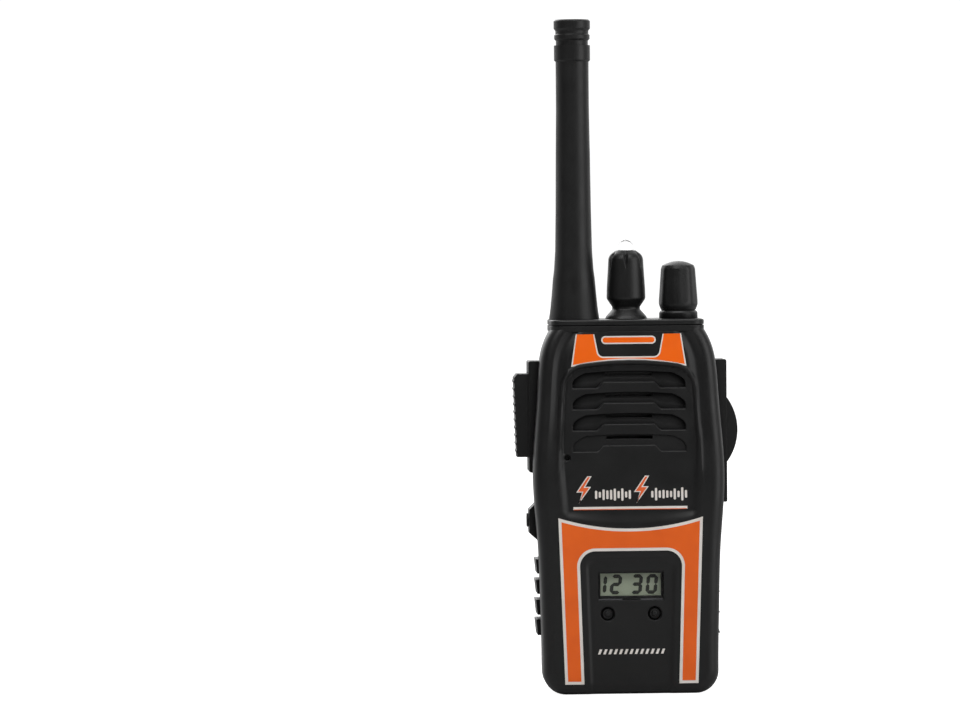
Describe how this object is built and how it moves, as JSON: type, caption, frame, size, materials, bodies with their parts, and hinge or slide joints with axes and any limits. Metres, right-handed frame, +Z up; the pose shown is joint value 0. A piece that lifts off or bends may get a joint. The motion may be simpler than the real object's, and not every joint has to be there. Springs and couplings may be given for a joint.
{
  "type": "toy walkie talkie",
  "caption": "Handheld toy walkie talkie with antenna, torch and volume knobs, speaker grille, clock display, orange stickers, side buttons, belt clip and battery door.",
  "frame": {"origin": "centre of the flat base, below the volume and torch knobs' axes' plane", "axes": "+Z up along the antenna, -Y out of the front with the grille and clock, +X to the right seen from the front"},
  "size_m": [0.0729, 0.0413, 0.2178],
  "materials": {
    "case_black": "satin",
    "trim_black": "satin",
    "button_black": "matte",
    "antenna_black": "satin",
    "sticker_orange": "satin",
    "print_white": "satin",
    "print_orange": "satin",
    "clear_plastic": "polished",
    "display_grey": "satin",
    "steel": "satin",
    "copper_wire": "satin",
    "magnet_grey": "matte",
    "paper_cone": "matte",
    "cloth_black": "matte",
    "board_green": "satin",
    "chip_black": "satin",
    "switch_blue": "satin",
    "can_silver": "satin",
    "cell_steel": "polished",
    "frame_white": "matte",
    "strip_rubber": "matte",
    "lead_red": "satin",
    "lead_black": "satin",
    "lead_grey": "satin",
    "battery_jacket": "satin"
  },
  "bodies": {
    "case": {"front_shell": "case_black", "rear_shell": "case_black", "top_cap": "case_black", "antenna_sleeve": "antenna_black", "antenna_tip": "antenna_black", "antenna_wire": "copper_wire", "antenna_screw": "steel", "torch_knob": "trim_black", "torch_led": "clear_plastic", "volume_pot": "can_silver", "talk_switch": "chip_black", "call_switch": "chip_black", "torch_switch": "chip_black", "speaker_frame": "steel", "speaker_cone": "paper_cone", "speaker_magnet": "magnet_grey", "speaker_cloth": "cloth_black", "microphone": "can_silver", "inner_leads": "lead_grey", "inner_screws": "steel", "main_board": "board_green", "radio_chip": "chip_black", "tuning_coils": "can_silver", "capacitors": "switch_blue", "crystal": "can_silver", "clock_window": "clear_plastic", "clock_display": "display_grey", "display_frame": "frame_white", "contact_strip": "strip_rubber", "clock_board": "board_green", "clock_contacts": "steel", "clock_chip": "chip_black", "clock_cell": "cell_steel", "battery": "battery_jacket", "battery_snap": "trim_black", "battery_lead_red": "lead_red", "battery_lead_black": "lead_black", "case_screws": "steel", "clip_bracket": "trim_black", "bracket_screws": "steel", "clip_pin": "steel", "clip_spring": "steel", "upper_labels": "sticker_orange", "lower_label": "sticker_orange", "white_marks": "print_white", "bolt_marks": "print_orange"},
    "volume_knob": {"volume_knob": "trim_black", "volume_shaft": "steel"},
    "talk_button": {"talk_button": "button_black", "talk_plunger": "frame_white"},
    "call_button": {"call_button": "button_black", "call_plunger": "frame_white"},
    "torch_button": {"torch_button": "button_black", "torch_plunger": "frame_white"},
    "mode_button": {"mode_button": "button_black"},
    "set_button": {"set_button": "button_black"},
    "belt_clip": {"belt_clip": "trim_black"},
    "battery_door": {"battery_door": "case_black", "door_screw": "steel"}
  },
  "joints": [
    {"name": "volume_turn", "type": "hinge", "parent": "case", "child": "volume_knob", "pos_m": [0.0173, 0, 0.121], "axis": [0, 0, 1], "range_deg": [-270, 0]},
    {"name": "talk_press", "type": "slide", "parent": "case", "child": "talk_button", "axis": [1, 0, 0], "range_m": [0, 0.0015], "stiffness_N_per_m": 800, "springref_m": -0.0004},
    {"name": "call_press", "type": "slide", "parent": "case", "child": "call_button", "axis": [-1, 0, 0], "range_m": [0, 0.0012], "stiffness_N_per_m": 800, "springref_m": -0.0004},
    {"name": "torch_press", "type": "slide", "parent": "case", "child": "torch_button", "axis": [1, 0, 0], "range_m": [0, 0.001], "stiffness_N_per_m": 800, "springref_m": -0.0003},
    {"name": "mode_press", "type": "slide", "parent": "case", "child": "mode_button", "axis": [0, 1, 0], "range_m": [0, 0.0006], "stiffness_N_per_m": 600, "springref_m": -0.0003},
    {"name": "set_press", "type": "slide", "parent": "case", "child": "set_button", "axis": [0, 1, 0], "range_m": [0, 0.0006], "stiffness_N_per_m": 600, "springref_m": -0.0003},
    {"name": "belt_clip_swing", "type": "hinge", "parent": "case", "child": "belt_clip", "pos_m": [0, 0.0214, 0.102], "axis": [1, 0, 0], "range_deg": [0, 15], "stiffness_Nm_per_rad": 0.4, "springref_deg": -8.59},
    {"name": "battery_door_off", "type": "slide", "parent": "case", "child": "battery_door", "axis": [0, 1, 0], "range_m": [0, 0.02]}
  ]
}
